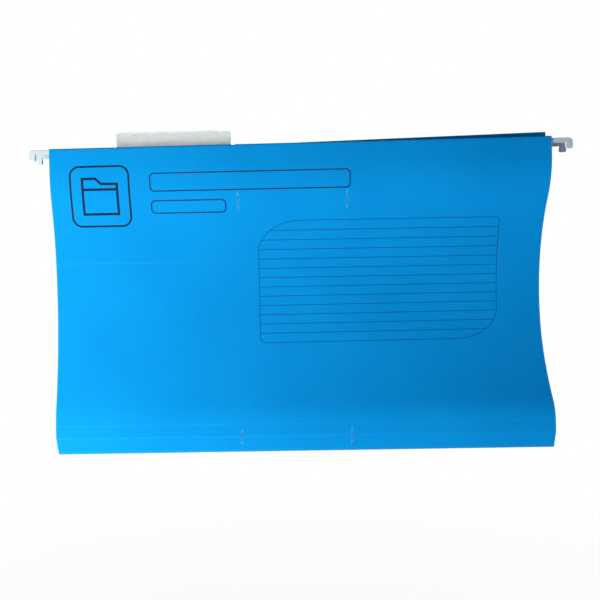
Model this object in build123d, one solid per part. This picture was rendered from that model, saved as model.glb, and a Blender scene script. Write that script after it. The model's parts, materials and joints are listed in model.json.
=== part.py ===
from build123d import *

import math
import os

# Legal-size hanging file folder: one folded sheet of heavy paper hung on two hooked rods,
# with a clear index tab and its paper label on the rear leaf.
# Millimetres. X runs along the rods, the front leaf faces -Y, and Z is up.
# The origin is midway between the rods, at the height of the rails that carry the hooks.

# Folded sheet
sheet_width = 374.65
folder_height = 231.2
paper = 0.35
bottom_y = -0.85
bottom_half_width = 4.1
gusset_height = 12.5
strip_height = 9.1
waist_height = 115.6
front_waist_y = 10.9
pocket_depth = 11.4
bend_share = 0.3
crease_clear = 0.2
fold_slack = 0.35
swing_limit_angle = 120.0

# Hems, where the sheet turns over its rods
rod_spacing = 10.6
hem_clear = 0.3
bar_clear = 0.45
tunnel_depth = 9.0
joggle_height = 7.0
glue_height = 6.0
hem_margin = 2.0

# Rods and hook tips
hook_reach = 15.875
strip_thickness = 1.0
strip_width = 2.6
strip_in_tip = 12.0
tip_thickness = 1.8
tip_in_hem = 18.0
bar_height = 3.5
bar_step = 0.3
seat_gap = 1.0
prong_width = 5.3
prong_drop = 4.5
prong_corner = 1.2
hook_corner = 3.0
hook_relief = 0.6
tip_edge = 0.6

# Fastener slits in the front leaf
slit_width = 0.5
slit_height = 8.0
slit_spacing = 82.5
slit_x = -5.5
upper_slit_depth = 41.5
lower_slit_height = 12.0

# Index tab and label
tab_spacing = 95.0
tab_length = 92.0
tab_clear = 0.35
tab_sheet = 0.8
window_height = 13.0
window_wall = 0.6
window_room = 0.9
window_lift = 0.6
window_corner = 4.0
plate_length = 71.0
plate_height = 14.0
plate_corner = 5.0
finger_count = 8
finger_pitch = 5.7
finger_width = 3.4
slot_width = 3.6
slot_height = 2.6
peg_clear = 0.4
peg_proud = 0.3
label_length = 88.0
label_thickness = 0.25
label_clear = 0.3

# Places worked out from the sizes above
FRONT = -1
REAR = 1
X_AXIS = Vector(1, 0, 0)
rod_length = sheet_width + 2 * hook_reach
hem_radius = tip_thickness / 2 + hem_clear + paper / 2
sheet_top = bar_height + bar_clear + paper
fold_z = sheet_top - folder_height
lower_score_z = fold_z + gusset_height
upper_score_z = lower_score_z + strip_height
waist_z = fold_z + waist_height
hem_depth = tunnel_depth + joggle_height + glue_height
hem_turn_z = sheet_top - paper / 2 - hem_radius
tab_x = -tab_spacing
fold_half_angle = math.degrees(math.atan2(bottom_half_width, gusset_height))


def flat(y, z):
    """A point of the folder's cross-section."""
    return Vector(0, y, z)


def straight(start, end):
    """A straight piece of a cross-section path: start, middle, end and no centre."""
    return start, (start + end) * 0.5, end, None


def arc(start, end, centre, radius):
    """A piece of a path that turns round a centre by less than half a circle."""
    middle = centre + ((start + end) * 0.5 - centre).normalized() * radius
    return start, middle, end, centre


def s_bend(start, end, first_share):
    """Two tangent arcs between two upright stretches of the sheet."""
    rise = end.Z - start.Z
    run = end.Y - start.Y
    toward = math.copysign(1, run)
    radii = (run ** 2 + rise ** 2) / (2 * abs(run))
    first_radius = radii * first_share
    last_radius = radii - first_radius
    first_centre = start + flat(toward * first_radius, 0)
    last_centre = end - flat(toward * last_radius, 0)
    turn = first_centre + (last_centre - first_centre) * first_share
    return [arc(start, turn, first_centre, first_radius), arc(turn, end, last_centre, last_radius)]


def left_of(segment, point):
    """The direction to the left of the path at one of its points."""
    start, middle, end, centre = segment
    if centre is None:
        return X_AXIS.cross((end - start).normalized())
    turn = (middle - start).cross(end - middle).X
    return (centre - point).normalized() * math.copysign(1, turn)


def beside(segment, amount):
    """The edge that runs beside a piece of the path, to its left for a positive amount."""
    start, middle, end, centre = segment
    points = [point + left_of(segment, point) * amount for point in (start, middle, end)]
    if centre is None:
        return Line(points[0], points[2])
    return ThreePointArc(*points)


def cap(segment, point, outward, half, is_round):
    """The edge that closes a ribbon at one end: cut square, or rounded about the end of its path."""
    left = left_of(segment, point)
    if not is_round:
        return Line(point + left * half, point - left * half)
    tip = point + left.cross(X_AXIS) * (outward * half)
    return ThreePointArc(point + left * half, tip, point - left * half)


def ribbon(path, thickness, width, round_start=False, round_end=False):
    """A sheet that follows a cross-section path, centred on it and on X."""
    half = thickness / 2
    edges = [beside(segment, half) for segment in path]
    edges += [beside(segment, -half) for segment in path]
    edges.append(cap(path[0], path[0][0], -1, half, round_start))
    edges.append(cap(path[-1], path[-1][2], 1, half, round_end))
    return extrude(make_face(edges), amount=width / 2, dir=X_AXIS, both=True)


def crease_setback(angle, clear=crease_clear):
    """How far a sheet stops from a crease line, so that it clears its neighbour folded to that angle."""
    folded = math.radians(angle)
    return (paper / 2 + clear + paper / 2 * math.cos(folded)) / math.sin(folded)


def rounded_plate(length, thickness, height, corner):
    """An upright plate with rounded corners, centred on the origin."""
    outline = Plane.XZ * RectangleRounded(length, height, corner)
    return extrude(outline, amount=thickness / 2, both=True)


def block(x, y_range, z_range, width):
    """A box that spans the given Y and Z, centred on x."""
    size_y = y_range[1] - y_range[0]
    size_z = z_range[1] - z_range[0]
    return Pos(x, sum(y_range) / 2, sum(z_range) / 2) * Box(width, size_y, size_z)


# Bottom of the folder: the two gusset strips and the two upright strips above them
fold = flat(bottom_y, fold_z)
score_y = {side: bottom_y + side * bottom_half_width for side in (FRONT, REAR)}
lower_score = {side: flat(score_y[side], lower_score_z) for side in (FRONT, REAR)}
upper_score = {side: flat(score_y[side], upper_score_z) for side in (FRONT, REAR)}
square_setback = crease_setback(90)


def gusset(start, end, setback):
    """A gusset strip from one crease line to the next, rounded along the second."""
    begin = start + (end - start).normalized() * setback
    return ribbon([straight(begin, end)], paper, sheet_width, round_end=True)


# The two gusset strips come a little nearer to each other halfway through their travel
fold_setback = crease_setback(2 * fold_half_angle, crease_clear + fold_slack)
rear_gusset = gusset(lower_score[REAR], fold, square_setback)
front_gusset = gusset(fold, lower_score[FRONT], fold_setback)
rear_upper_strip = ribbon(
    [straight(lower_score[REAR], upper_score[REAR])], paper, sheet_width, round_start=True
)
front_upper_strip = ribbon(
    [straight(lower_score[FRONT] + flat(0, square_setback), upper_score[FRONT])],
    paper,
    sheet_width,
    round_end=True,
)


# Leaves and hems
def leaf_y(side):
    """Middle of the sheet where a leaf hangs straight below its rod."""
    return side * (rod_spacing / 2 + hem_radius)


def panel(side, waist_y, setback):
    """A leaf from its upper score line to the start of its hem, bowed backwards at the waist."""
    foot = upper_score[side] + flat(0, setback)
    waist = flat(waist_y, waist_z)
    shoulder = flat(leaf_y(side), sheet_top - hem_depth - hem_margin)
    hem_start = flat(leaf_y(side), hem_turn_z)
    path = s_bend(foot, waist, bend_share)
    path += s_bend(waist, shoulder, 1 - bend_share)
    path.append(straight(shoulder, hem_start))
    return ribbon(path, paper, sheet_width)


def hem(side):
    """The top of a leaf, turned over its rod and glued to the inside."""
    rod_y = side * rod_spacing / 2
    outer_y = leaf_y(side)
    inner_y = rod_y - side * hem_radius
    glued_y = outer_y - side * paper
    crown = flat(rod_y, hem_turn_z + hem_radius)
    centre = flat(rod_y, hem_turn_z)
    tunnel_end = flat(inner_y, sheet_top - tunnel_depth)
    glue_start = flat(glued_y, sheet_top - tunnel_depth - joggle_height)
    path = [
        arc(flat(outer_y, hem_turn_z), crown, centre, hem_radius),
        arc(crown, flat(inner_y, hem_turn_z), centre, hem_radius),
        straight(flat(inner_y, hem_turn_z), tunnel_end),
    ]
    path += s_bend(tunnel_end, glue_start, 1 / 2)
    path.append(straight(glue_start, flat(glued_y, sheet_top - hem_depth)))
    return ribbon(path, paper, sheet_width)


front_panel = panel(FRONT, front_waist_y, crease_setback(180 - swing_limit_angle))
rear_panel = panel(REAR, front_waist_y + pocket_depth, 0)
front_hem = hem(FRONT)
rear_hem = hem(REAR)


def fastener_slits(z):
    """A pair of upright slits through the front of the folder."""
    cut_y = (leaf_y(FRONT) - paper, front_waist_y)
    cut_z = (z - slit_height / 2, z + slit_height / 2)
    places = (slit_x - slit_spacing / 2, slit_x + slit_spacing / 2)
    return [block(x, cut_y, cut_z, slit_width) for x in places]


lower_slits = fastener_slits(fold_z + lower_slit_height)
front_panel -= fastener_slits(sheet_top - upper_slit_depth)
front_upper_strip -= lower_slits
front_gusset -= lower_slits


# Rods and hook tips
def near_edge(solid, x, z):
    """The edge across a hook tip that lies nearest to a place in its outline."""
    return min(solid.edges().filter_by(Axis.Y), key=lambda edge: (edge.center() - Vector(x, 0, z)).length)


def rod():
    """The steel strip, centred in the height of the bar."""
    length = 2 * (sheet_width / 2 - tip_in_hem + strip_in_tip)
    return Pos(0, 0, bar_height / 2) * Box(length, strip_thickness, strip_width)


def hook_tip():
    """The right-hand hook tip: a bar that plugs onto the strip and a prong that hooks over the rail."""
    inner_end = sheet_width / 2 - tip_in_hem
    seat_start = sheet_width / 2 + seat_gap
    outer_end = rod_length / 2
    prong_x = outer_end - prong_width
    outline = Polyline(
        (inner_end, 0, -bar_step),
        (seat_start, 0, -bar_step),
        (seat_start, 0, 0),
        (prong_x, 0, 0),
        (prong_x, 0, -prong_drop),
        (outer_end, 0, -prong_drop),
        (outer_end, 0, bar_height),
        (inner_end, 0, bar_height),
        close=True,
    )
    tip = extrude(make_face(outline), amount=tip_thickness / 2, dir=(0, 1, 0), both=True)
    tip = fillet(near_edge(tip, outer_end, bar_height), hook_corner)
    for x in (prong_x, outer_end):
        tip = fillet(near_edge(tip, x, -prong_drop), prong_corner)
    rim = [
        edge
        for edge in tip.edges().filter_by(Axis.X)
        if edge.center().Z > bar_height / 2 and abs(edge.center().Y) > tip_thickness / 4
    ]
    tip = fillet(rim, tip_edge)
    tip -= Pos(prong_x, 0, 0) * Rot(X=90) * Cylinder(hook_relief, tip_thickness * 2)
    return tip - rod()


right_tip = hook_tip()
left_tip = mirror(right_tip, about=Plane.YZ)


# Index tab on the rear leaf, and the label in its window
tunnel_face_y = rod_spacing / 2 - hem_radius - paper / 2
flap_face_y = leaf_y(REAR) - paper * 3 / 2
neck_y = tunnel_face_y - tab_clear - tab_sheet / 2
plate_y = flap_face_y - tab_clear - tab_sheet / 2
window_bottom = sheet_top + window_lift
window_y = (neck_y - tab_sheet / 2 - window_room - window_wall, neck_y + tab_sheet / 2)
room_y = (window_y[0] + window_wall, window_y[0] + window_wall + window_room)
room_z = (window_bottom + window_wall, window_bottom + window_height - window_wall)
slot_z = sheet_top - hem_depth + glue_height / 2
plate_top = slot_z + slot_height / 2
finger_offsets = [(index - (finger_count - 1) / 2) * finger_pitch for index in range(finger_count)]


def finger_slots(centre_x):
    """A row of slots through the rear hem and leaf, one for each finger of the tab."""
    cut_y = (flap_face_y - paper, leaf_y(REAR) + paper)
    cut_z = (slot_z - slot_height / 2, slot_z + slot_height / 2)
    return [block(centre_x + offset, cut_y, cut_z, slot_width) for offset in finger_offsets]


for row_x in (-tab_spacing, 0, tab_spacing):
    rear_panel -= finger_slots(row_x)
    rear_hem -= finger_slots(row_x)


def tab_finger():
    """One finger: from the plate, round the bulge of the hem and up to the window."""
    bend_end = sheet_top - tunnel_depth - tab_clear
    bend_start = bend_end - joggle_height
    path = [straight(flat(plate_y, slot_z - slot_height), flat(plate_y, bend_start))]
    path += s_bend(flat(plate_y, bend_start), flat(neck_y, bend_end), 1 / 2)
    path.append(straight(flat(neck_y, bend_end), flat(neck_y, window_bottom + window_wall)))
    return ribbon(path, tab_sheet, finger_width)


def tab_peg():
    """The stub of a finger that passes through its slot."""
    peg_y = (plate_y, leaf_y(REAR) + paper / 2 + peg_proud)
    peg_half = slot_height / 2 - peg_clear
    return block(0, peg_y, (slot_z - peg_half, slot_z + peg_half), slot_width - 2 * peg_clear)


def window():
    """The see-through sleeve that holds the label, open at both ends."""
    shell = Pos(tab_x, sum(window_y) / 2, window_bottom + window_height / 2) * rounded_plate(
        tab_length, window_y[1] - window_y[0], window_height, window_corner
    )
    return shell - block(tab_x, room_y, room_z, tab_length * 2)


index_tab = window()
index_tab += Pos(tab_x, plate_y, plate_top - plate_height / 2) * rounded_plate(
    plate_length, tab_sheet, plate_height, plate_corner
)
for offset in finger_offsets:
    index_tab += Pos(tab_x + offset, 0, 0) * tab_finger()
    index_tab += Pos(tab_x + offset, 0, 0) * tab_peg()

label_y = (sum(room_y) - label_thickness) / 2, (sum(room_y) + label_thickness) / 2
label_z = room_z[0] + label_clear, room_z[1] - label_clear
label_insert = block(tab_x, label_y, label_z, label_length)

pieces = {
    "front_panel": front_panel,
    "front_hem": front_hem,
    "front_upper_strip": front_upper_strip,
    "front_gusset": front_gusset,
    "rear_gusset": rear_gusset,
    "rear_upper_strip": rear_upper_strip,
    "rear_panel": rear_panel,
    "rear_hem": rear_hem,
    "index_tab": index_tab,
    "label_insert": label_insert,
}
for name, side in (("front", FRONT), ("rear", REAR)):
    place = Pos(0, side * rod_spacing / 2, 0)
    pieces[name + "_rod"] = place * rod()
    pieces[name + "_left_hook_tip"] = place * left_tip
    pieces[name + "_right_hook_tip"] = place * right_tip

os.makedirs("parts", exist_ok=True)
for name, piece in pieces.items():
    export_step(piece, os.path.join("parts", name + ".step"))
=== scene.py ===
import json
import math

import bmesh
import bpy
from mathutils import Matrix, Vector, noise


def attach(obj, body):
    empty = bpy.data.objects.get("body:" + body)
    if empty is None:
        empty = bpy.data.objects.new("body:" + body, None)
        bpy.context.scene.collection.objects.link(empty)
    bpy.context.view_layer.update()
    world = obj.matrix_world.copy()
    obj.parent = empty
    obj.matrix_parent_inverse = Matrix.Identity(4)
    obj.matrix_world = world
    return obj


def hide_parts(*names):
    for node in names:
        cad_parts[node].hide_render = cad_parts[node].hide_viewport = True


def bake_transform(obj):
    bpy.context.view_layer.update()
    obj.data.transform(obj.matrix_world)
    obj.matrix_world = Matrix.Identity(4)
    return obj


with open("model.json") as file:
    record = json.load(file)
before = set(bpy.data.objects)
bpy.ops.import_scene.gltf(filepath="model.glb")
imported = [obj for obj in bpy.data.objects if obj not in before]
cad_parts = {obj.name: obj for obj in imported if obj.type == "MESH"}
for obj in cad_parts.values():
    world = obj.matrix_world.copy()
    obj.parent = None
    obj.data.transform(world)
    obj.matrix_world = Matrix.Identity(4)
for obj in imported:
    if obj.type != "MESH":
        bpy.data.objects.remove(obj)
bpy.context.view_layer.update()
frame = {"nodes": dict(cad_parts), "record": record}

# A legal-size hanging file folder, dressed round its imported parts.
# Sizes are in millimetres and meshes in metres. X runs along the rods, the front leaf faces -Y
# and Z is up. The origin is midway between the rods, at the height of the rails.

MM = 0.001
FRONT = "front"
REAR = "rear"
OUTWARD = {FRONT: -1, REAR: 1}

# Folded sheet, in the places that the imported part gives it
SHEET_HALF = 374.65 / 2
PAPER = 0.35
SHEET_TOP = 4.3
FOLD_Y = -0.85
FOLD_Z = SHEET_TOP - 231.2
LOWER_SCORE_Z = FOLD_Z + 12.5
UPPER_SCORE_Z = LOWER_SCORE_Z + 9.1
WAIST_Z = FOLD_Z + 115.6
SCORE_Y = {FRONT: FOLD_Y - 4.1, REAR: FOLD_Y + 4.1}

# Hems
ROD_Y = {FRONT: -5.3, REAR: 5.3}
HEM_RADIUS = 1.375
HEM_TURN_Z = SHEET_TOP - PAPER / 2 - HEM_RADIUS
TUNNEL_END_Z = SHEET_TOP - 9.0
GLUE_START_Z = TUNNEL_END_Z - 7.0
FLAP_END_Z = GLUE_START_Z - 6.0
JOGGLE_SHARE = 0.5

# How the sheet has bent: its bow is deeper to the right, and its hems are folded a little askew.
# The shares say how much of a bend's height its arc next to the foot or the shoulder takes.
WAIST_Y = {FRONT: 11.6, REAR: 22.3}
WAIST_LEAN = {FRONT: 9.0, REAR: 3.5}
SHOULDER_Z = {FRONT: SHEET_TOP - 13.3, REAR: SHEET_TOP - 24.0}
FOOT_SHARE = {FRONT: 0.15, REAR: 0.3}
SHOULDER_SHARE = {FRONT: 0.28, REAR: 0.3}
HEM_SKEW = {FRONT: 0.8, REAR: 6.9}
RIPPLE_HEIGHT = 0.7
RIPPLE_LENGTH_X = 95.0
RIPPLE_LENGTH_Z = 60.0
RIPPLE_SEED = {FRONT: 3.7, REAR: 8.2}

# Slits and slots
SLIT_X = (-46.75, 35.75)
SLIT_HALF_WIDTH = 0.25
SLIT_HALF_HEIGHT = 4.0
SLIT_Z = (SHEET_TOP - 41.5, FOLD_Z + 12.0)
SLIT_LIP = 0.6
SLOT_ROWS_X = (-95.0, 0.0, 95.0)
SLOT_COUNT = 8
SLOT_PITCH = 5.7
SLOT_HALF_WIDTH = 1.8
SLOT_Z = FLAP_END_Z + 3.0
SLOT_HALF_HEIGHT = 1.3

# Mesh steps, the angle in degrees at which an edge is sharp, and the sheet's two faces
COLUMN_STEP = 4.0
ROW_STEP = 3.5
HEM_ROW_STEP = ROW_STEP / 2
CREASE_BAND = 0.8
CREASE_STEPS = 8
TURN_STEPS = 14
CAP_STEPS = 4
SHARP_ANGLE = 40.0
OUTER = 0
INNER = 1
FACES = (OUTER, INNER)

# Wear and soft creases, with a painted highlight along the score lines
EDGE_WEAR = 0.7
EDGE_SHARE = 0.35
SCORE_REACH = 0.6
SCORE_DEPTH = 0.1
# The score lines' pale share falls from the left edge to the right one. It is partly rubbed wear and
# partly a painted highlight, strongest on the left where the key light falls.
SCORE_SHARE = (0.14, 0.05)
OLD_CREASE_Z = -82.0
OLD_CREASE_REACH = 0.9
OLD_CREASE_END_X = -36.0
OLD_CREASE_FADE = 60.0
OLD_CREASE_SHARE = 0.1
CROWN_SHARE = 0.2


def fade(distance, reach):
    """One at no distance, falling to nothing at the reach."""
    return max(0.0, 1.0 - abs(distance) / reach)


def clamped(share):
    """A share held between nothing and one."""
    return min(max(share, 0.0), 1.0)


def across(x):
    """How far across the sheet a place lies, from nothing at its left edge to one at its right."""
    return (x + SHEET_HALF) / (2 * SHEET_HALF)


def spaced(marks, step):
    """Values from the first mark to the last that include every mark, at most a step apart."""
    values = []
    for low, high in zip(marks, marks[1:]):
        count = max(1, math.ceil(abs(high - low) / step))
        values += [low + (high - low) * index / count for index in range(count)]
    return values + [marks[-1]]


def s_bend_y(z, start, end, first_share):
    """The sheet's middle at height z, on two tangent arcs between two (y, z) points."""
    start_y, start_z = start
    end_y, end_z = end
    run = end_y - start_y
    rise = end_z - start_z
    toward = math.copysign(1, run)
    radii = (run ** 2 + rise ** 2) / (2 * abs(run))
    first_radius = radii * first_share
    last_radius = radii - first_radius
    climbed = z - start_z
    if abs(climbed) < abs(rise) * first_share:
        return start_y + toward * (first_radius - math.sqrt(first_radius ** 2 - climbed ** 2))
    left = end_z - z
    return end_y - toward * (last_radius - math.sqrt(last_radius ** 2 - left ** 2))


def ripple(side, x, z):
    """Slight waves in a leaf, none at its upper score line and its hem."""
    share = (z - UPPER_SCORE_Z) / (SHOULDER_Z[side] - UPPER_SCORE_Z)
    place = Vector((x / RIPPLE_LENGTH_X, z / RIPPLE_LENGTH_Z, RIPPLE_SEED[side]))
    return RIPPLE_HEIGHT * noise.noise(place) * math.sin(math.pi * share)


def nearest_score(z):
    """One on a score line or the fold, falling to nothing beside it."""
    return max(fade(z - score_z, SCORE_REACH) for score_z in (FOLD_Z, LOWER_SCORE_Z, UPPER_SCORE_Z))


def straight_y(side):
    """The sheet's middle where a leaf hangs straight below its rod."""
    return ROD_Y[side] + OUTWARD[side] * HEM_RADIUS


def strip_y(side, z):
    """The sheet's middle on the flat strips above the fold, with their score lines pressed in."""
    share = min((z - FOLD_Z) / (LOWER_SCORE_Z - FOLD_Z), 1.0)
    pressed = SCORE_DEPTH * share * nearest_score(z)
    return FOLD_Y + (SCORE_Y[side] - FOLD_Y) * share - OUTWARD[side] * pressed


def sheet_y(side, x, z):
    """The sheet's middle at a place on one side of the folder, from the fold up to the hem."""
    if z <= UPPER_SCORE_Z:
        return strip_y(side, z)
    if z >= SHOULDER_Z[side]:
        return straight_y(side)
    foot = (strip_y(side, UPPER_SCORE_Z), UPPER_SCORE_Z)
    waist = (WAIST_Y[side] + WAIST_LEAN[side] * x / SHEET_HALF, WAIST_Z)
    shoulder = (straight_y(side), SHOULDER_Z[side])
    if z < WAIST_Z:
        return s_bend_y(z, foot, waist, FOOT_SHARE[side]) + ripple(side, x, z)
    return s_bend_y(z, waist, shoulder, 1 - SHOULDER_SHARE[side]) + ripple(side, x, z)


def hem_y(side, x, z):
    """The sheet's middle on the inside of a hem, from its turn down to the end of its flap."""
    inner_y = ROD_Y[side] - OUTWARD[side] * HEM_RADIUS
    if z >= TUNNEL_END_Z:
        return inner_y
    glued_y = sheet_y(side, x, min(z, GLUE_START_Z)) - OUTWARD[side] * PAPER
    if z <= GLUE_START_Z:
        return glued_y
    return s_bend_y(z, (inner_y, TUNNEL_END_Z), (glued_y, GLUE_START_Z), JOGGLE_SHARE)


def raised(side, x, z):
    """The height of a place once the hem is folded askew, which lifts only its tunnel."""
    share = (z - TUNNEL_END_Z) / (HEM_TURN_Z - TUNNEL_END_Z)
    return z + HEM_SKEW[side] * across(x) * clamped(share)


def sheet_path(side, x, levels, hem_levels):
    """The sheet's middle line at x, as (y, z) points: up one side and, if it has a hem, over the rod."""
    points = [(sheet_y(side, x, z), raised(side, x, z)) for z in levels]
    if hem_levels:
        for step in range(1, TURN_STEPS):
            angle = math.pi * step / TURN_STEPS
            y = ROD_Y[side] + OUTWARD[side] * HEM_RADIUS * math.cos(angle)
            z = HEM_TURN_Z + HEM_RADIUS * math.sin(angle)
            points.append((y, raised(side, x, z)))
        points += [(hem_y(side, x, z), raised(side, x, z)) for z in hem_levels]
    return points


def slit_wear(x, z):
    """Pale lips beside the fastener slits."""
    return max(
        fade(max(abs(x - slit_x) - SLIT_HALF_WIDTH, 0.0), SLIT_LIP)
        * fade(max(abs(z - slit_z) - SLIT_HALF_HEIGHT, 0.0), SLIT_LIP)
        for slit_x in SLIT_X
        for slit_z in SLIT_Z
    )


def wear_and_highlight_at(side, x, z):
    """How pale the paper is at a place: rubbed wear, and along the score lines also a painted highlight
    that is strongest on the left. A hem is rubbed where it stands highest.
    """
    left_share, right_share = SCORE_SHARE
    # Along the score lines the pale share is partly wear and partly a painted highlight that fades from
    # the lit left to the right.
    score_share = left_share + (right_share - left_share) * across(x)
    found = [EDGE_SHARE * fade(SHEET_HALF - abs(x), EDGE_WEAR), score_share * nearest_score(z)]
    found.append(CROWN_SHARE * fade(z - SHEET_TOP - HEM_SKEW[side], HEM_RADIUS))
    if side == FRONT:
        old_crease = OLD_CREASE_SHARE * fade(z - OLD_CREASE_Z, OLD_CREASE_REACH)
        found.append(old_crease * clamped((OLD_CREASE_END_X - x) / OLD_CREASE_FADE))
        found.append(slit_wear(x, z))
    return max(found)


def outward_normals(points, sign):
    """Unit normals of a path, on the side that faces out of the folder."""
    normals = []
    for index in range(len(points)):
        before = points[max(index - 1, 0)]
        after = points[min(index + 1, len(points) - 1)]
        along = Vector((after[0] - before[0], after[1] - before[1])).normalized()
        normals.append(Vector((along.y, -along.x)) * sign)
    return normals


def finish_mesh(name, vertices, faces, material):
    """A smooth-shaded object made of the given faces, in millimetres."""
    mesh = bpy.data.meshes.new(name)
    mesh.from_pydata([Vector(vertex) * MM for vertex in vertices], [], faces)
    shape = bmesh.new()
    shape.from_mesh(mesh)
    bmesh.ops.recalc_face_normals(shape, faces=shape.faces)
    shape.to_mesh(mesh)
    shape.free()
    mesh.shade_smooth()
    mesh.set_sharp_from_angle(angle=math.radians(SHARP_ANGLE))
    mesh.materials.append(material)
    piece = bpy.data.objects.new(name, mesh)
    bpy.context.scene.collection.objects.link(piece)
    return piece


def add_attribute(piece, name, kind, values):
    """Stores one value for each vertex of a piece."""
    attribute = piece.data.attributes.new(name, kind, "POINT")
    field = "vector" if kind == "FLOAT_VECTOR" else "value"
    flat_values = [number for value in values for number in value] if field == "vector" else values
    attribute.data.foreach_set(field, flat_values)


def in_hole(x, z, holes):
    """Whether a place lies in one of the (centre x, centre z, half width, half height) holes."""
    return any(
        abs(x - centre_x) < half_width and abs(z - centre_z) < half_height
        for centre_x, centre_z, half_width, half_height in holes
    )


class SheetMaker:
    """A closed sheet of paper that follows a path, which may change along X, with holes through it."""

    def __init__(self, side, columns, levels, hem_levels, holes, round_start, round_end):
        self.side = side
        self.columns = columns
        self.rows = len(sheet_path(side, 0.0, levels, hem_levels))
        self.round_ends = {0: round_start, self.rows - 1: round_end}
        self.column_size = len(FACES) * self.rows + (CAP_STEPS - 1) * (round_start + round_end)
        self.vertices = []
        self.places = []
        self.wear_and_highlight = []
        self.faces = []
        self.caps = {}
        for column, x in enumerate(columns):
            self.add_column(column, x, sheet_path(side, x, levels, hem_levels))
        middle = sheet_path(side, 0.0, levels, hem_levels)
        self.open_cells = {
            (column, row)
            for column in range(len(columns) - 1)
            for row in range(self.rows - 1)
            if in_hole(
                (columns[column] + columns[column + 1]) / 2,
                (middle[row][1] + middle[row + 1][1]) / 2,
                holes,
            )
        }
        for column in range(len(columns) - 1):
            for row in range(self.rows - 1):
                self.add_cell(column, row)

    def add_vertex(self, x, y, z, along):
        self.vertices.append((x, y, z))
        self.places.append((x * MM, along * MM, 0.0))
        self.wear_and_highlight.append(wear_and_highlight_at(self.side, x, z))
        return len(self.vertices) - 1

    def add_column(self, column, x, points):
        """Both faces of the sheet at one x, and its rounded ends."""
        half = PAPER / 2
        normals = outward_normals(points, OUTWARD[self.side])
        along = 0.0
        distances = []
        for row, (y, z) in enumerate(points):
            if row:
                along += math.dist(points[row - 1], points[row])
            distances.append(along)
            for offset in (half, -half):
                self.add_vertex(x, y + offset * normals[row].x, z + offset * normals[row].y, along)
        for row, is_round in self.round_ends.items():
            chain = [self.index(column, row, OUTER)]
            if is_round:
                neighbour = points[1] if row == 0 else points[-2]
                away = (Vector(points[row]) - Vector(neighbour)).normalized()
                for step in range(1, CAP_STEPS):
                    angle = math.pi * step / CAP_STEPS
                    place = Vector(points[row]) + half * (
                        normals[row] * math.cos(angle) + away * math.sin(angle)
                    )
                    chain.append(self.add_vertex(x, place.x, place.y, distances[row]))
            chain.append(self.index(column, row, INNER))
            self.caps[column, row] = chain

    def index(self, column, row, face):
        """The number of a vertex of the outer face or of the inner one."""
        return column * self.column_size + len(FACES) * row + face

    def is_open(self, column, row):
        """Whether there is no paper there, in a hole or past the edge."""
        inside = 0 <= column < len(self.columns) - 1 and 0 <= row < self.rows - 1
        return not inside or (column, row) in self.open_cells

    def add_cell(self, column, row):
        """One cell of both faces, with walls where it borders a hole or an edge."""
        if self.is_open(column, row):
            return
        corners = ((column, row), (column + 1, row), (column + 1, row + 1), (column, row + 1))
        for face in FACES:
            self.faces.append([self.index(*corner, face) for corner in corners])
        beyond = ((column, row - 1), (column + 1, row), (column, row + 1), (column - 1, row))
        for edge, neighbour in enumerate(beyond):
            if not self.is_open(*neighbour):
                continue
            first = corners[edge]
            second = corners[(edge + 1) % len(corners)]
            if first[1] == second[1] and first[1] in self.round_ends:
                self.add_cap(self.caps[first], self.caps[second])
            else:
                self.add_wall(first, second)

    def add_cap(self, first, second):
        """The end of the sheet between two columns."""
        for step in range(len(first) - 1):
            self.faces.append([first[step], first[step + 1], second[step + 1], second[step]])

    def add_wall(self, first, second):
        """A cut edge between two places, and the side of a rounded end where it reaches one."""
        corners = ((first, OUTER), (first, INNER), (second, INNER), (second, OUTER))
        self.faces.append([self.index(*place, face) for place, face in corners])
        for place in (first, second):
            if first[0] == second[0] and self.round_ends.get(place[1]):
                self.faces.append(self.caps[place])

    def build(self, name, material):
        """The finished piece, with what its paper needs to know of each vertex."""
        piece = finish_mesh(name, self.vertices, self.faces, material)
        add_attribute(piece, "flat_place", "FLOAT_VECTOR", self.places)
        add_attribute(piece, "wear_and_highlight", "FLOAT", self.wear_and_highlight)
        return piece


# Materials. Noises are given in grains to a metre, and bumps as a strength and a distance in metres.
OPAQUE = 1.0
NOISE_SPAN = (0.3, 0.7)
FULL_SPAN = (0.0, 1.0)
SOFT_DETAIL = 2.0
FINE_DETAIL = 3.0
STREAK_SCALE = 1.0

# Sockets of a mix node, which has its own for numbers and for colours
MIX_NUMBERS = (2, 3)
MIX_NUMBER_RESULT = 0
MIX_COLOURS = (6, 7)
MIX_COLOUR_RESULT = 2


def new_material(name):
    """A node material with its shader, ready to be wired."""
    material = bpy.data.materials.new(name)
    material.use_nodes = True
    return material, material.node_tree, material.node_tree.nodes["Principled BSDF"]


def attribute_output(tree, name, output):
    """A value stored with the mesh."""
    node = tree.nodes.new("ShaderNodeAttribute")
    node.attribute_name = name
    return node.outputs[output]


def object_place(tree):
    """The place on an object, in its own metres."""
    return tree.nodes.new("ShaderNodeTexCoord").outputs["Object"]


def noise_node(tree, place, scale, detail):
    """Soft noise of the given number of grains in a metre."""
    node = tree.nodes.new("ShaderNodeTexNoise")
    node.inputs["Scale"].default_value = scale
    node.inputs["Detail"].default_value = detail
    tree.links.new(place, node.inputs["Vector"])
    return node.outputs["Fac"]


def streaks(tree, place, scales):
    """Fine noise with a different number of grains in a metre along each axis."""
    node = tree.nodes.new("ShaderNodeMapping")
    node.inputs["Scale"].default_value = scales
    tree.links.new(place, node.inputs["Vector"])
    return noise_node(tree, node.outputs["Vector"], STREAK_SCALE, FINE_DETAIL)


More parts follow.
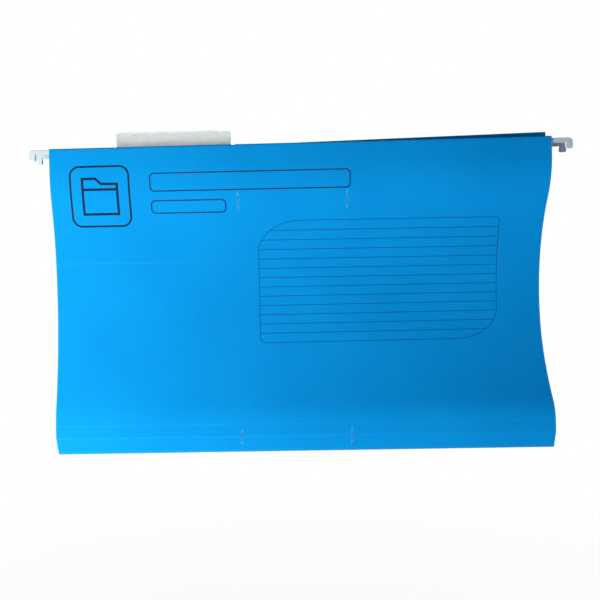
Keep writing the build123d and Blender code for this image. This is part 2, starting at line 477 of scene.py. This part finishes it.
def remapped(tree, amount, source, target):
    """A number carried from one span to another, and held at its ends."""
    node = tree.nodes.new("ShaderNodeMapRange")
    names = ("From Min", "From Max", "To Min", "To Max")
    for name, value in zip(names, (*source, *target)):
        node.inputs[name].default_value = value
    tree.links.new(amount, node.inputs["Value"])
    return node.outputs["Result"]


def combined(tree, operation, first, second):
    """One number worked out from two outputs."""
    node = tree.nodes.new("ShaderNodeMath")
    node.operation = operation
    for socket, value in zip(node.inputs, (first, second)):
        tree.links.new(value, socket)
    return node.outputs["Value"]


def averaged(tree, first, second, share):
    """A number part of the way from one output to another."""
    node = tree.nodes.new("ShaderNodeMix")
    node.inputs["Factor"].default_value = share
    for socket, value in zip(MIX_NUMBERS, (first, second)):
        tree.links.new(value, node.inputs[socket])
    return node.outputs[MIX_NUMBER_RESULT]


def blended(tree, amount, first, second):
    """A colour between two, by an amount: each is a colour or another node's output."""
    node = tree.nodes.new("ShaderNodeMix")
    node.data_type = "RGBA"
    tree.links.new(amount, node.inputs["Factor"])
    for socket, value in zip(MIX_COLOURS, (first, second)):
        if isinstance(value, tuple):
            node.inputs[socket].default_value = (*value, OPAQUE)
        else:
            tree.links.new(value, node.inputs[socket])
    return node.outputs[MIX_COLOUR_RESULT]


def mixed_shaders(tree, amount, first, second):
    """A shader between two, by an amount."""
    node = tree.nodes.new("ShaderNodeMixShader")
    for socket, value in zip(node.inputs, (amount, first, second)):
        tree.links.new(value, socket)
    return node.outputs["Shader"]


def coloured(tree, shader, amount, colours):
    """Gives a shader a colour that goes from one to another over the middle of a noise."""
    colour = blended(tree, remapped(tree, amount, NOISE_SPAN, FULL_SPAN), *colours)
    tree.links.new(colour, shader.inputs["Base Color"])


def roughened(tree, shader, amount, span):
    """Gives a shader a roughness that changes with a noise."""
    tree.links.new(remapped(tree, amount, NOISE_SPAN, span), shader.inputs["Roughness"])


def bumped(tree, shader, height, strength, distance):
    """Gives a shader fine relief."""
    node = tree.nodes.new("ShaderNodeBump")
    node.inputs["Strength"].default_value = strength
    node.inputs["Distance"].default_value = distance
    tree.links.new(height, node.inputs["Height"])
    tree.links.new(node.outputs["Normal"], shader.inputs["Normal"])


PAPER_CLOUDS = 16.0
PAPER_MOTTLE = 420.0
PAPER_FIBRES = (500.0, 2400.0, 1.0)
PAPER_GRAIN = 2600.0
PAPER_FIBRE_SHARE = 0.5
PAPER_PATCH_SHARE = 0.55
PAPER_GRAIN_SHARE = 0.5
PAPER_DEEP = (0.0010, 0.244, 0.715)
PAPER_PALE = (0.0020, 0.294, 0.805)
PAPER_WORN_AND_HIGHLIT = (0.13, 0.55, 0.92)
PAPER_WEAR_AND_HIGHLIGHT = (0.4, 0.8)
PAPER_ROUGHNESS = (0.78, 0.92)
PAPER_SPECULAR = 0.04
PAPER_BUMP = (0.3, 0.00012)


def paper_material():
    """Heavy dyed paper: fibres, mottled dye, pale rubbed edges, and pale score lines that are partly
    rubbed wear and partly a painted highlight.
    """
    material, tree, shader = new_material("blue_paper")
    place = attribute_output(tree, "flat_place", "Vector")
    clouds = noise_node(tree, place, PAPER_CLOUDS, SOFT_DETAIL)
    mottle = noise_node(tree, place, PAPER_MOTTLE, FINE_DETAIL)
    fibres = streaks(tree, place, PAPER_FIBRES)
    grain = noise_node(tree, place, PAPER_GRAIN, SOFT_DETAIL)
    patches = averaged(tree, mottle, fibres, PAPER_FIBRE_SHARE)
    dye = averaged(tree, clouds, patches, PAPER_PATCH_SHARE)
    dyed = blended(tree, remapped(tree, dye, NOISE_SPAN, FULL_SPAN), PAPER_DEEP, PAPER_PALE)
    # The stored share paints rubbed wear, and along the score lines a painted highlight as well.
    wear_and_highlight = attribute_output(tree, "wear_and_highlight", "Fac")
    rubbed_and_highlit = combined(tree, "MULTIPLY", wear_and_highlight, remapped(tree, mottle, NOISE_SPAN, PAPER_WEAR_AND_HIGHLIGHT))
    tree.links.new(blended(tree, rubbed_and_highlit, dyed, PAPER_WORN_AND_HIGHLIT), shader.inputs["Base Color"])
    roughened(tree, shader, grain, PAPER_ROUGHNESS)
    shader.inputs["Specular IOR Level"].default_value = PAPER_SPECULAR
    bumped(tree, shader, averaged(tree, fibres, grain, PAPER_GRAIN_SHARE), *PAPER_BUMP)
    return material


INK_COVER = 1500.0
INK_COLOURS = ((0.003, 0.012, 0.034), (0.006, 0.03, 0.085))
INK_ROUGHNESS = (0.4, 0.6)
INK_SPECULAR = 0.05
INK_BUMP = (0.2, 0.00004)


def ink_material():
    """Printing ink, a little uneven where the fibres take less of it."""
    material, tree, shader = new_material("dark_ink")
    cover = noise_node(tree, object_place(tree), INK_COVER, FINE_DETAIL)
    coloured(tree, shader, cover, INK_COLOURS)
    roughened(tree, shader, cover, INK_ROUGHNESS)
    shader.inputs["Specular IOR Level"].default_value = INK_SPECULAR
    bumped(tree, shader, cover, *INK_BUMP)
    return material


HOOK_CLOUD = 130.0
HOOK_SKIN = 3200.0
HOOK_COLOURS = ((0.49, 0.57, 0.67), (0.53, 0.61, 0.71))
HOOK_ROUGHNESS = (0.42, 0.55)
HOOK_SPECULAR = 0.3
HOOK_BUMP = (0.12, 0.00002)


def hook_material():
    """Satin moulded plastic with a faint cloud in it."""
    material, tree, shader = new_material("hook_plastic")
    place = object_place(tree)
    cloud = noise_node(tree, place, HOOK_CLOUD, FINE_DETAIL)
    skin = noise_node(tree, place, HOOK_SKIN, SOFT_DETAIL)
    coloured(tree, shader, cloud, HOOK_COLOURS)
    roughened(tree, shader, skin, HOOK_ROUGHNESS)
    shader.inputs["Specular IOR Level"].default_value = HOOK_SPECULAR
    bumped(tree, shader, skin, *HOOK_BUMP)
    return material


STEEL_LINES = (30.0, 5000.0, 5000.0)
STEEL_STAINS = 90.0
STEEL_COLOURS = ((0.46, 0.46, 0.47), (0.62, 0.62, 0.63))
STEEL_METALLIC = 1.0
STEEL_ROUGHNESS = (0.26, 0.46)
STEEL_BUMP = (0.3, 0.00005)


def steel_material():
    """Cold-rolled strip with drawing lines along it."""
    material, tree, shader = new_material("rod_steel")
    place = object_place(tree)
    lines = streaks(tree, place, STEEL_LINES)
    stains = noise_node(tree, place, STEEL_STAINS, FINE_DETAIL)
    coloured(tree, shader, stains, STEEL_COLOURS)
    shader.inputs["Metallic"].default_value = STEEL_METALLIC
    roughened(tree, shader, lines, STEEL_ROUGHNESS)
    bumped(tree, shader, lines, *STEEL_BUMP)
    return material


CLEAR_FLOW = (60.0, 220.0, 220.0)
CLEAR_SKIN = 900.0
CLEAR_SKIN_SHARE = 0.3
CLEAR_COLOURS = ((0.88, 0.925, 0.935), (0.945, 0.965, 0.97))
CLEAR_ROUGHNESS = (0.03, 0.1)
CLEAR_TRANSMISSION = 1.0
CLEAR_IOR = 1.49
CLEAR_BUMP = (0.2, 0.0001)


def clear_material():
    """Clear moulded plastic with slight flow marks."""
    material, tree, shader = new_material("clear_plastic")
    place = object_place(tree)
    flow = streaks(tree, place, CLEAR_FLOW)
    skin = noise_node(tree, place, CLEAR_SKIN, SOFT_DETAIL)
    coloured(tree, shader, flow, CLEAR_COLOURS)
    roughened(tree, shader, skin, CLEAR_ROUGHNESS)
    shader.inputs["Transmission Weight"].default_value = CLEAR_TRANSMISSION
    shader.inputs["IOR"].default_value = CLEAR_IOR
    bumped(tree, shader, averaged(tree, flow, skin, CLEAR_SKIN_SHARE), *CLEAR_BUMP)
    return material


LABEL_FIBRES = (700.0, 1.0, 2600.0)
LABEL_MOTTLE = 300.0
LABEL_COLOURS = ((0.80, 0.80, 0.775), (0.87, 0.87, 0.855))
LABEL_ROUGHNESS = (0.6, 0.8)
LABEL_SPECULAR = 0.2
LABEL_BUMP = (0.3, 0.0001)


def label_material():
    """White label stock with visible fibres."""
    material, tree, shader = new_material("label_paper")
    place = object_place(tree)
    fibres = streaks(tree, place, LABEL_FIBRES)
    mottle = noise_node(tree, place, LABEL_MOTTLE, FINE_DETAIL)
    coloured(tree, shader, mottle, LABEL_COLOURS)
    roughened(tree, shader, fibres, LABEL_ROUGHNESS)
    shader.inputs["Specular IOR Level"].default_value = LABEL_SPECULAR
    bumped(tree, shader, fibres, *LABEL_BUMP)
    return material


blue_paper = paper_material()
dark_ink = ink_material()

# Sheets of the folder
slit_marks = [
    slit_x + sign * offset
    for slit_x in SLIT_X
    for sign in (-1, 1)
    for offset in (SLIT_HALF_WIDTH, SLIT_HALF_WIDTH + SLIT_LIP)
]
edge_marks = [sign * place for sign in (-1, 1) for place in (SHEET_HALF, SHEET_HALF - EDGE_WEAR)]
slot_places = [
    row_x + (index - (SLOT_COUNT - 1) / 2) * SLOT_PITCH
    for row_x in SLOT_ROWS_X
    for index in range(SLOT_COUNT)
]
slot_marks = [slot_x + sign * SLOT_HALF_WIDTH for slot_x in slot_places for sign in (-1, 1)]
slit_holes = [(x, z, SLIT_HALF_WIDTH, SLIT_HALF_HEIGHT) for x in SLIT_X for z in SLIT_Z]
slot_holes = [(x, SLOT_Z, SLOT_HALF_WIDTH, SLOT_HALF_HEIGHT) for x in slot_places]
slit_levels = [z + sign * SLIT_HALF_HEIGHT for z in SLIT_Z for sign in (-1, 1)]
slot_levels = [SLOT_Z - SLOT_HALF_HEIGHT, SLOT_Z + SLOT_HALF_HEIGHT]
hem_marks = [HEM_TURN_Z, TUNNEL_END_Z, GLUE_START_Z]


def crease_rows(z):
    """Close rows across a crease."""
    return [z + CREASE_BAND * (2 * step / CREASE_STEPS - 1) for step in range(CREASE_STEPS + 1)]


def rows_between(low, high, marks):
    """Rows from one height to another, with those of the marks that lie between."""
    inside = [mark for mark in marks if low < mark < high]
    return spaced(sorted({low, high, *inside}), ROW_STEP)


front_columns = spaced(sorted(edge_marks + slit_marks), COLUMN_STEP)
rear_columns = spaced(sorted(edge_marks + slot_marks), COLUMN_STEP)
score_rows = crease_rows(LOWER_SCORE_Z) + crease_rows(UPPER_SCORE_Z)
old_crease_rows = [OLD_CREASE_Z + sign * OLD_CREASE_REACH for sign in (-1, 0, 1)]
leaf_marks = [
    *score_rows,
    *old_crease_rows,
    *slit_levels,
    *slot_levels,
    *SHOULDER_Z.values(),
    WAIST_Z,
    *hem_marks,
]

front_sheet = SheetMaker(
    FRONT,
    front_columns,
    rows_between(LOWER_SCORE_Z, HEM_TURN_Z, leaf_marks),
    spaced([*hem_marks, FLAP_END_Z], HEM_ROW_STEP),
    slit_holes,
    round_start=True,
    round_end=False,
).build("front_sheet", blue_paper)
front_gusset_sheet = SheetMaker(
    FRONT,
    front_columns,
    rows_between(FOLD_Z, LOWER_SCORE_Z, leaf_marks),
    [],
    slit_holes,
    round_start=True,
    round_end=True,
).build("front_gusset_sheet", blue_paper)
rear_sheet = SheetMaker(
    REAR,
    rear_columns,
    rows_between(FOLD_Z, HEM_TURN_Z, leaf_marks),
    spaced([*hem_marks, *reversed(slot_levels), FLAP_END_Z], HEM_ROW_STEP),
    slot_holes,
    round_start=True,
    round_end=False,
).build("rear_sheet", blue_paper)


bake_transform(front_sheet)
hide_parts("front_upper_strip", "front_panel", "front_hem")
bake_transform(rear_sheet)
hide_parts("rear_gusset", "rear_upper_strip", "rear_panel", "rear_hem")
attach(front_gusset_sheet, "front_gusset")
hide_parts("front_gusset")

# Printed form and header on the front leaf
INK_LIFT = 0.03
INK_SINK = 0.05
INK_STEP = 3.0
INK_SECTION = ((-1, INK_LIFT), (1, INK_LIFT), (1, -INK_SINK), (-1, -INK_SINK))
MITRE_LIMIT = 0.5
SLOPE_STEP = 0.5
FORM_LEFT = -32.7
FORM_RIGHT = 153.0
FORM_TOP = -52.1
FORM_BOTTOM = -145.5
FORM_ROWS = 13
FORM_LINE = 0.33
FORM_LARGE_CORNER = (33.0, 23.5)
FORM_SMALL_CORNER = (4.0, 4.0)
CORNER_COUNT = 4
CORNER_STEPS = 12

# Directions on the leaf, in degrees anticlockwise from its right
LEFTWARD = 180.0
UPWARD = 90.0
RIGHTWARD = 0.0
DOWNWARD = -90.0
QUARTER_TURN = 90.0


def ink_point(x, z, lift):
    """A place on the front leaf's outer face, lifted off it."""
    slope_x = sheet_y(FRONT, x + SLOPE_STEP, z) - sheet_y(FRONT, x - SLOPE_STEP, z)
    slope_z = sheet_y(FRONT, x, z + SLOPE_STEP) - sheet_y(FRONT, x, z - SLOPE_STEP)
    normal = Vector((slope_x / (2 * SLOPE_STEP), -1.0, slope_z / (2 * SLOPE_STEP))).normalized()
    return Vector((x, sheet_y(FRONT, x, z), z)) + normal * (PAPER / 2 + lift)


def stations(points, is_closed):
    """A line's points with more between them, each with its sideways direction, mitred at corners."""
    ring = points + points[:1] if is_closed else points
    dense = []
    for start, end in zip(ring, ring[1:]):
        count = max(1, math.ceil(math.dist(start, end) / INK_STEP))
        dense += [Vector(start).lerp(Vector(end), index / count) for index in range(count)]
    if not is_closed:
        dense.append(Vector(ring[-1]))
    found = []
    last = len(dense) - 1
    for index, place in enumerate(dense):
        before = dense[index - 1] if index or is_closed else place
        after = dense[(index + 1) % len(dense)] if index < last or is_closed else place
        arriving = (place - before if before != place else after - place).normalized()
        leaving = (after - place if after != place else place - before).normalized()
        along = (arriving + leaving).normalized()
        sideways = Vector((-along.y, along.x)) / max(along.dot(leaving), MITRE_LIMIT)
        found.append((place, sideways))
    return found


class InkMaker:
    """Lines of ink of a given width on the front leaf, each a thin closed ribbon."""

    def __init__(self):
        self.vertices = []
        self.faces = []

    def line(self, points, width, is_closed=False):
        """One line along its points."""
        sections = []
        for place, sideways in stations(points, is_closed):
            first = len(self.vertices)
            for sign, lift in INK_SECTION:
                spot = place + sideways * (sign * width / 2)
                self.vertices.append(ink_point(spot.x, spot.y, lift))
            sections.append(range(first, len(self.vertices)))
        pairs = list(zip(sections, sections[1:]))
        if is_closed:
            pairs.append((sections[-1], sections[0]))
        else:
            self.faces += [list(sections[0]), list(sections[-1])]
        for here, there in pairs:
            for corner in range(len(here)):
                following = (corner + 1) % len(here)
                self.faces.append([here[corner], here[following], there[following], there[corner]])

    def build(self, name):
        """The finished piece, which moves with the front leaf."""
        piece = finish_mesh(name, self.vertices, self.faces, dark_ink)
        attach(piece, "front_leaf")


def corner_points(centre, radii, start_angle):
    """A quarter turn, clockwise from an angle in degrees."""
    points = []
    for step in range(CORNER_STEPS + 1):
        angle = math.radians(start_angle - QUARTER_TURN * step / CORNER_STEPS)
        points.append((centre[0] + radii[0] * math.cos(angle), centre[1] + radii[1] * math.sin(angle)))
    return points


def rounded_outline(left, right, bottom, top, corners):
    """A rounded rectangle, clockwise. Corners go from the top left one, clockwise, as (x, z) radii."""
    top_left, top_right, bottom_right, bottom_left = corners
    return (
        corner_points((left + top_left[0], top - top_left[1]), top_left, LEFTWARD)
        + corner_points((right - top_right[0], top - top_right[1]), top_right, UPWARD)
        + corner_points((right - bottom_right[0], bottom + bottom_right[1]), bottom_right, RIGHTWARD)
        + corner_points((left + bottom_left[0], bottom + bottom_left[1]), bottom_left, DOWNWARD)
    )


def inset_at(z, corner, corner_z):
    """How far a rounded corner comes in at height z, if z lies within it."""
    depth = abs(z - corner_z)
    if depth >= corner[1]:
        return 0.0
    return corner[0] * (1.0 - math.sqrt(1.0 - (1.0 - depth / corner[1]) ** 2))


form = InkMaker()
form_corners = (FORM_LARGE_CORNER, FORM_SMALL_CORNER, FORM_LARGE_CORNER, FORM_SMALL_CORNER)
form_outline = rounded_outline(FORM_LEFT, FORM_RIGHT, FORM_BOTTOM, FORM_TOP, form_corners)
form.line(form_outline, FORM_LINE, is_closed=True)
for row in range(1, FORM_ROWS):
    row_z = FORM_TOP + (FORM_BOTTOM - FORM_TOP) * row / FORM_ROWS
    row_start = FORM_LEFT + inset_at(row_z, FORM_LARGE_CORNER, FORM_TOP)
    row_end = FORM_RIGHT - inset_at(row_z, FORM_LARGE_CORNER, FORM_BOTTOM)
    form.line([(row_start, row_z), (row_end, row_z)], FORM_LINE)
form.build("ruled_form")

# Header: a plain folder sign in a square frame, and two empty fields beside it
SIGN_LINE = 1.4
SIGN_LEFT = -172.0
SIGN_SIZE = 44.0
SIGN_TOP = -10.0
SIGN_CORNER = (7.0, 7.0)
PICTURE_MARGIN = 9.0
PICTURE_LINE = 1.8
PICTURE_HEIGHT = 22.0
PICTURE_TAB_HEIGHT = 4.0
PICTURE_TAB_LENGTH = 10.0

# The fields are given as (top, length, height)
FIELD_LINE = 0.8
FIELD_LEFT = -112.0
FIELDS = ((-16.0, 150.0, 13.0), (-36.0, 56.0, 9.0))
FIELD_CORNER = (3.0, 3.0)

header = InkMaker()
sign_right = SIGN_LEFT + SIGN_SIZE
sign_bottom = SIGN_TOP - SIGN_SIZE
sign_corners = (SIGN_CORNER,) * CORNER_COUNT
sign_outline = rounded_outline(SIGN_LEFT, sign_right, sign_bottom, SIGN_TOP, sign_corners)
header.line(sign_outline, SIGN_LINE, is_closed=True)
picture_left = SIGN_LEFT + PICTURE_MARGIN
picture_right = sign_right - PICTURE_MARGIN
picture_bottom = sign_bottom + (SIGN_SIZE - PICTURE_HEIGHT - PICTURE_TAB_HEIGHT) / 2
picture_top = picture_bottom + PICTURE_HEIGHT
picture_tab_top = picture_top + PICTURE_TAB_HEIGHT
header.line(
    [
        (picture_left, picture_bottom),
        (picture_left, picture_tab_top),
        (picture_left + PICTURE_TAB_LENGTH, picture_tab_top),
        (picture_left + PICTURE_TAB_LENGTH + PICTURE_TAB_HEIGHT, picture_top),
        (picture_right, picture_top),
        (picture_right, picture_bottom),
    ],
    PICTURE_LINE,
    is_closed=True,
)
picture_front_top = picture_top - PICTURE_TAB_HEIGHT
header.line([(picture_left, picture_front_top), (picture_right, picture_front_top)], PICTURE_LINE)
field_corners = (FIELD_CORNER,) * CORNER_COUNT
for field_top, field_length, field_height in FIELDS:
    field_right = FIELD_LEFT + field_length
    field_bottom = field_top - field_height
    field_outline = rounded_outline(FIELD_LEFT, field_right, field_bottom, field_top, field_corners)
    header.line(field_outline, FIELD_LINE, is_closed=True)
header.build("header_marks")

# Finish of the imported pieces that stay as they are
finishes = {
    "hook_plastic": hook_material(),
    "rod_steel": steel_material(),
    "clear_plastic": clear_material(),
    "label_paper": label_material(),
}
for subpart in frame["record"]["subparts"]:
    if subpart["material_slot"] in finishes:
        node = frame["nodes"][subpart["node"]]
        node.data.materials.clear()
        node.data.materials.append(finishes[subpart["material_slot"]])

# Stage and light. The floor's share of white grows over its fade, which is in metres. The lights are given
# as (name, place, width, watts, tint).
FLOOR_Z = -800.0
FLOOR_HALF = 4000.0
FLOOR_WHITE = (0.9, 1.0)
FLOOR_FADE = (0.4, 1.6)
PLAIN_WHITE = (1.0, 1.0, 1.0, 1.0)
PALE_GREY = (0.5, 0.5, 0.5, 1.0)
AMBIENT = 0.09
LIGHT_TARGET = Vector((0.0, 0.0, -110.0))
KEY_TINT = (0.97, 1.0, 0.84)
FILL_TINT = (0.74, 0.77, 1.0)
NEUTRAL = (1.0, 1.0, 1.0)
LIGHTS = (
    ("key_light", (-665.0, -428.0, -320.0), 320.0, 11.3, KEY_TINT),
    ("fill_light", (700.0, -1000.0, -300.0), 600.0, 2.4, FILL_TINT),
    ("back_light", (100.0, 1250.0, 600.0), 700.0, 18.0, NEUTRAL),
)


def seen_directly(tree):
    """One for rays that show the background, straight or in gloss and glass."""
    path = tree.nodes.new("ShaderNodeLightPath")
    found = path.outputs["Is Camera Ray"]
    for name in ("Is Glossy Ray", "Is Transmission Ray"):
        found = combined(tree, "MAXIMUM", found, path.outputs[name])
    return found


def make_world():
    """A white background over a dim even light."""
    world = bpy.data.worlds.new("studio")
    world.use_nodes = True
    tree = world.node_tree
    ambient = tree.nodes["Background"]
    ambient.inputs["Color"].default_value = PLAIN_WHITE
    ambient.inputs["Strength"].default_value = AMBIENT
    white = tree.nodes.new("ShaderNodeBackground")
    white.inputs["Color"].default_value = PLAIN_WHITE
    shown = mixed_shaders(
        tree, seen_directly(tree), ambient.outputs["Background"], white.outputs["Background"]
    )
    tree.links.new(shown, tree.nodes["World Output"].inputs["Surface"])
    bpy.context.scene.world = world


def floor_material():
    """A pale floor that keeps shadows near the object and goes white further out."""
    material = bpy.data.materials.new("pale_floor")
    material.use_nodes = True
    tree = material.node_tree
    tree.nodes.remove(tree.nodes["Principled BSDF"])
    matte = tree.nodes.new("ShaderNodeBsdfDiffuse")
    matte.inputs["Color"].default_value = PALE_GREY
    white = tree.nodes.new("ShaderNodeEmission")
    white.inputs["Color"].default_value = PLAIN_WHITE
    distance = tree.nodes.new("ShaderNodeVectorMath")
    distance.operation = "LENGTH"
    tree.links.new(object_place(tree), distance.inputs[0])
    share = remapped(tree, distance.outputs["Value"], FLOOR_FADE, FLOOR_WHITE)
    amount = combined(tree, "MULTIPLY", share, seen_directly(tree))
    shown = mixed_shaders(tree, amount, matte.outputs["BSDF"], white.outputs["Emission"])
    tree.links.new(shown, tree.nodes["Material Output"].inputs["Surface"])
    return material


def make_floor():
    """The floor below the folder, which hangs above it."""
    corners = [(x * FLOOR_HALF, y * FLOOR_HALF, 0.0) for x, y in ((-1, -1), (1, -1), (1, 1), (-1, 1))]
    floor = finish_mesh("floor", corners, [(0, 1, 2, 3)], floor_material())
    floor.location.z = FLOOR_Z * MM


def make_light(name, place, size, power, tint):
    """A square soft light that faces the folder."""
    data = bpy.data.lights.new(name, "AREA")
    data.size = size * MM
    data.energy = power
    data.color = tint
    light = bpy.data.objects.new(name, data)
    light.location = Vector(place) * MM
    light.rotation_euler = (LIGHT_TARGET - Vector(place)).to_track_quat("-Z", "Y").to_euler()
    light.visible_camera = False
    bpy.context.scene.collection.objects.link(light)


make_world()
make_floor()
for light_values in LIGHTS:
    make_light(*light_values)

# Camera, level with the middle of the folder. Its focus is in pixels of an image of the width given.
CAMERA_PLACE = (5.27, -414.38, -111.56)
CAMERA_YAW = -0.91
CAMERA_PITCH = -0.196
CAMERA_ROLL = -1.15
CAMERA_FOCUS = 546.85
IMAGE_WIDTH = 600
SENSOR = 36.0
CLIP_START = 10.0


def make_camera():
    """The camera at the photograph's viewing angle, turned by angles in degrees."""
    yaw, pitch, roll = (math.radians(angle) for angle in (CAMERA_YAW, CAMERA_PITCH, CAMERA_ROLL))
    forward = Vector((math.sin(yaw) * math.cos(pitch), math.cos(yaw) * math.cos(pitch), math.sin(pitch)))
    level = Vector((math.cos(yaw), -math.sin(yaw), 0.0))
    upright = level.cross(forward)
    right = level * math.cos(roll) + upright * math.sin(roll)
    up = upright * math.cos(roll) - level * math.sin(roll)
    data = bpy.data.cameras.new("camera")
    data.sensor_width = SENSOR
    data.lens = CAMERA_FOCUS * SENSOR / IMAGE_WIDTH
    data.clip_start = CLIP_START * MM
    camera = bpy.data.objects.new("camera", data)
    turn = Matrix((right, up, -forward)).transposed().to_4x4()
    camera.matrix_world = Matrix.Translation(Vector(CAMERA_PLACE) * MM) @ turn
    bpy.context.scene.collection.objects.link(camera)
    bpy.context.scene.camera = camera


make_camera()
bpy.context.scene.view_settings.view_transform = "Standard"
